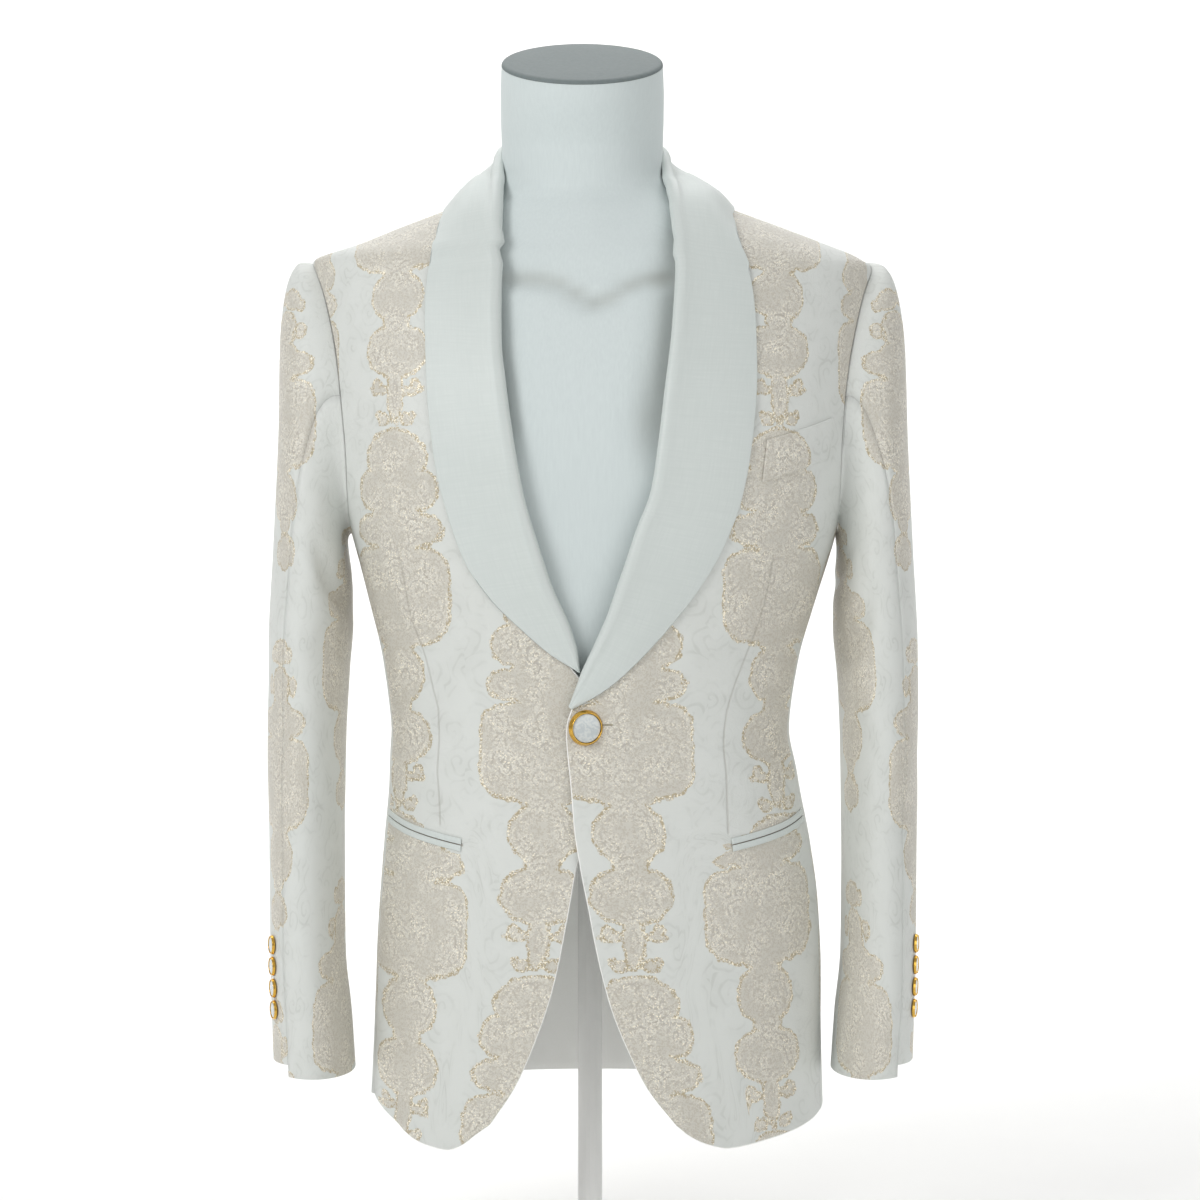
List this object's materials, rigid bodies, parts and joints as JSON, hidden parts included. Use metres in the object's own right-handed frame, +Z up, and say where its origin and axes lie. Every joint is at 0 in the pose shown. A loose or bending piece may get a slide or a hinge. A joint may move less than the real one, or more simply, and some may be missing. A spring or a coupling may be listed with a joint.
{
  "type": "tuxedo jacket on dress form",
  "caption": "One-button shawl-collar dinner jacket of brocade with satin collar and jetted pockets, resting on a limbless white dress form with a round table stand.",
  "frame": {"origin": "Middle of the flat underside of the stand's base", "axes": "+Z up, the jacket's front faces -Y, the wearer's left is +X"},
  "size_m": [0.5079, 0.28, 0.9582],
  "materials": {
    "brocade": "ivory woven brocade",
    "satin": "white satin",
    "jersey": "white stretched jersey",
    "cap_grey": "matt grey cap",
    "white_paint": "white enamel",
    "gold": "polished gold-coloured metal",
    "pearl": "mother-of-pearl"
  },
  "bodies": {
    "root": {"back_left": "brocade", "back_right": "brocade", "breast_welt": "brocade", "cuff_button_left_1_pearl": "pearl", "cuff_button_left_1_rim": "gold", "cuff_button_left_2_pearl": "pearl", "cuff_button_left_2_rim": "gold", "cuff_button_left_3_pearl": "pearl", "cuff_button_left_3_rim": "gold", "cuff_button_left_4_pearl": "pearl", "cuff_button_left_4_rim": "gold", "cuff_button_right_1_pearl": "pearl", "cuff_button_right_1_rim": "gold", "cuff_button_right_2_pearl": "pearl", "cuff_button_right_2_rim": "gold", "cuff_button_right_3_pearl": "pearl", "cuff_button_right_3_rim": "gold", "cuff_button_right_4_pearl": "pearl", "cuff_button_right_4_rim": "gold", "form_torso": "jersey", "front_button_pearl": "pearl", "front_button_rim": "gold", "front_left": "brocade", "front_right": "brocade", "neck_cap": "cap_grey", "pocket_jet_lower_left": "satin", "pocket_jet_lower_right": "satin", "pocket_jet_upper_left": "satin", "pocket_jet_upper_right": "satin", "shawl_left": "satin", "shawl_right": "satin", "side_panel_left": "brocade", "side_panel_right": "brocade", "sleeve_back_left": "brocade", "sleeve_back_right": "brocade", "sleeve_front_left": "brocade", "sleeve_front_right": "brocade", "stand_base": "white_paint", "stand_pole": "white_paint"}
  },
  "joints": []
}
